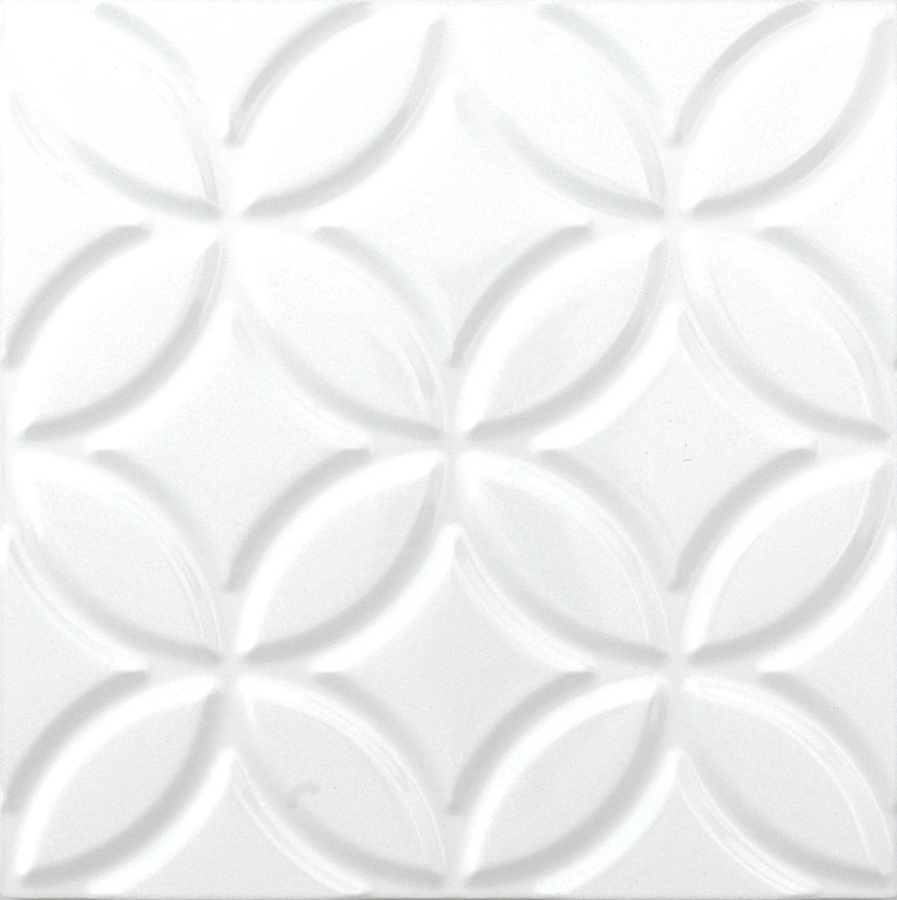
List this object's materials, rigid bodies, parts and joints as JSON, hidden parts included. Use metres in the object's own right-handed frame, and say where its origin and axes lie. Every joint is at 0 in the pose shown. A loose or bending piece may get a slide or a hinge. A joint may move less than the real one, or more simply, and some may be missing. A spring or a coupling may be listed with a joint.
{
  "type": "decorative ceramic tile",
  "caption": "Square white glazed ceramic wall tile with a relief of interlocking circles: flat petals and diamonds between rounded grooves.",
  "frame": {"origin": "middle of the flat back, on the surface that the tile lies on", "axes": "+Z out of the glazed face, +Y up the wall as the face is seen, +X to its right"},
  "size_m": [0.15, 0.15, 0.009],
  "materials": {
    "glaze": "glossy white glaze over a fired body"
  },
  "bodies": {
    "root": {"tile": "glaze"}
  },
  "joints": []
}
